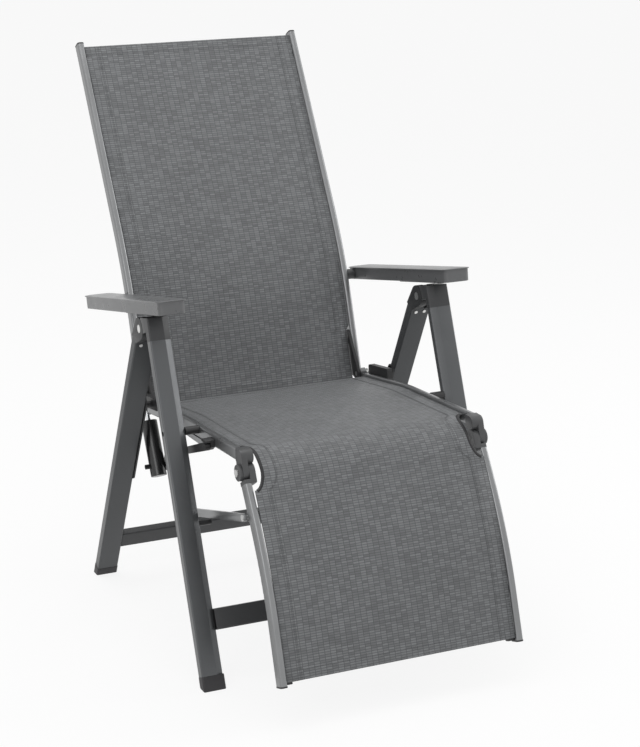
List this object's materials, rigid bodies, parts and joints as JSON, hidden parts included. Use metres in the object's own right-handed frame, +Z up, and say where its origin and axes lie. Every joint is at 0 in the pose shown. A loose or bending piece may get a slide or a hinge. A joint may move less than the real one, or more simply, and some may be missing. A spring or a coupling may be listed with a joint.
{
  "type": "reclining garden armchair",
  "caption": "Folding outdoor recliner with sling back and seat, hinged leg rest, armrests that follow the back, and a gas spring with release lever.",
  "frame": {"origin": "centre of the chair's box on the ground, in the pose of the picture", "axes": "+X across the chair, -Y towards the leg rest, +Z up"},
  "size_m": [0.658, 1.079, 1.1096],
  "materials": {
    "frame": "anthracite powder coat, satin",
    "plastic": "dark grey moulded plastic, fine texture",
    "armrest": "grey moulded plastic, satin",
    "sling": "coated textile mesh, dark grey",
    "hardware": "plain steel",
    "black_steel": "black paint, semi gloss"
  },
  "bodies": {
    "front_frame": {"front_leg_left": "frame", "front_leg_right": "frame", "front_cap_left": "plastic", "front_cap_right": "plastic", "front_feet": "plastic", "front_cross_bar": "frame", "leg_hinge_pins": "hardware", "seat_pivot_pins": "hardware", "stay_studs": "hardware"},
    "rear_frame": {"rear_leg_left": "frame", "rear_leg_right": "frame", "rear_cap_left": "plastic", "rear_cap_right": "plastic", "rear_cap_screws": "hardware", "rear_feet": "plastic", "rear_cross_bar": "frame", "seat_guides": "plastic"},
    "seat": {"seat_rail_left": "frame", "seat_rail_right": "frame", "seat_gusset_left": "frame", "seat_gusset_right": "frame", "seat_eyes": "plastic", "seat_knuckle_left": "plastic", "seat_knuckle_right": "plastic", "seat_rests": "plastic", "seat_front_bar": "frame", "seat_rear_bar": "frame", "seat_sling": "sling", "recline_pins": "hardware", "leg_hinge_bolts": "hardware", "gas_bracket": "black_steel", "gas_cylinder": "black_steel", "lever_bracket": "plastic"},
    "lever": {"release_lever": "plastic"},
    "gas_rod": {"gas_rod": "hardware"},
    "recline_bracket": {"recline_bracket": "black_steel"},
    "back": {"back_rail_left": "frame", "back_rail_right": "frame", "back_plates": "frame", "back_end_plugs": "plastic", "back_top_bar": "frame", "back_lower_bar": "frame", "back_sling": "sling", "arm_pivot_pins": "hardware"},
    "arm_knuckles": {"arm_knuckles": "plastic"},
    "armrests": {"armrest_left": "armrest", "armrest_right": "armrest", "arm_tracks": "plastic"},
    "leg_ratchets": {"leg_ratchets": "plastic"},
    "leg_rest": {"leg_rail_left": "frame", "leg_rail_right": "frame", "leg_knuckle_left": "plastic", "leg_knuckle_right": "plastic", "leg_end_plugs": "plastic", "leg_rest_bar": "frame", "leg_sling": "sling"},
    "stay_pins": {"stay_pins": "hardware"},
    "stays": {"stays": "frame"}
  },
  "joints": [
    {"name": "fold", "type": "hinge", "parent": "front_frame", "child": "rear_frame", "pos_m": [0, -0.027, 0.628], "axis": [-1, 0, 0], "range_deg": [0, 38]},
    {"name": "seat_fold", "type": "hinge", "parent": "front_frame", "child": "seat", "pos_m": [0, -0.14888, 0.452], "axis": [-1, 0, 0], "range_deg": [0, 72.2]},
    {"name": "back_fold", "type": "hinge", "parent": "recline_bracket", "child": "back", "pos_m": [0, 0.158, 0.42], "axis": [-1, 0, 0], "range_deg": [-72.2, 0]},
    {"name": "arm_fold", "type": "hinge", "parent": "back", "child": "arm_knuckles", "pos_m": [0, 0.263, 0.612], "axis": [-1, 0, 0], "range_deg": [0, 86.64]},
    {"name": "leg_rest_fold", "type": "hinge", "parent": "seat", "child": "leg_ratchets", "pos_m": [0, -0.359, 0.431], "axis": [-1, 0, 0], "range_deg": [-72.2, 0]},
    {"name": "recline", "type": "hinge", "parent": "seat", "child": "recline_bracket", "pos_m": [0, 0.158, 0.42], "axis": [-1, 0, 0], "range_deg": [-10, 17]},
    {"name": "arm_recline", "type": "hinge", "parent": "arm_knuckles", "child": "armrests", "pos_m": [0, 0.263, 0.612], "axis": [-1, 0, 0], "range_deg": [-13.18, 7.75]},
    {"name": "gas_slide", "type": "slide", "parent": "seat", "child": "gas_rod", "axis": [0, 0.458, 0.889], "range_m": [-0.00638, 0.00384]},
    {"name": "leg_rest", "type": "hinge", "parent": "leg_ratchets", "child": "leg_rest", "pos_m": [0, -0.359, 0.431], "axis": [-1, 0, 0], "range_deg": [-25, 55]},
    {"name": "stay_fold", "type": "hinge", "parent": "leg_rest", "child": "stay_pins", "pos_m": [0, -0.386, 0.354], "axis": [-1, 0, 0], "range_deg": [0, 57.76]},
    {"name": "stay_swing", "type": "hinge", "parent": "stay_pins", "child": "stays", "pos_m": [0, -0.386, 0.354], "axis": [-1, 0, 0], "range_deg": [-48.4, 22]},
    {"name": "release_lever", "type": "hinge", "parent": "seat", "child": "lever", "pos_m": [0, -0.226, 0.443], "axis": [1, 0, 0], "range_deg": [0, 12], "stiffness_Nm_per_rad": 0.5, "springref_deg": -17.19}
  ],
  "couplings": [
    {"joint": "seat_fold", "follows": "fold", "ratio": 1.9},
    {"joint": "back_fold", "follows": "fold", "ratio": -1.9},
    {"joint": "arm_fold", "follows": "fold", "ratio": 2.28},
    {"joint": "leg_rest_fold", "follows": "fold", "ratio": -1.9},
    {"joint": "arm_recline", "follows": "recline", "ratio": -0.775},
    {"joint": "gas_slide", "follows": "recline", "m_per_rad": -0.020829},
    {"joint": "stay_swing", "follows": "leg_rest", "ratio": -0.88},
    {"joint": "stay_fold", "follows": "fold", "ratio": 1.52}
  ]
}
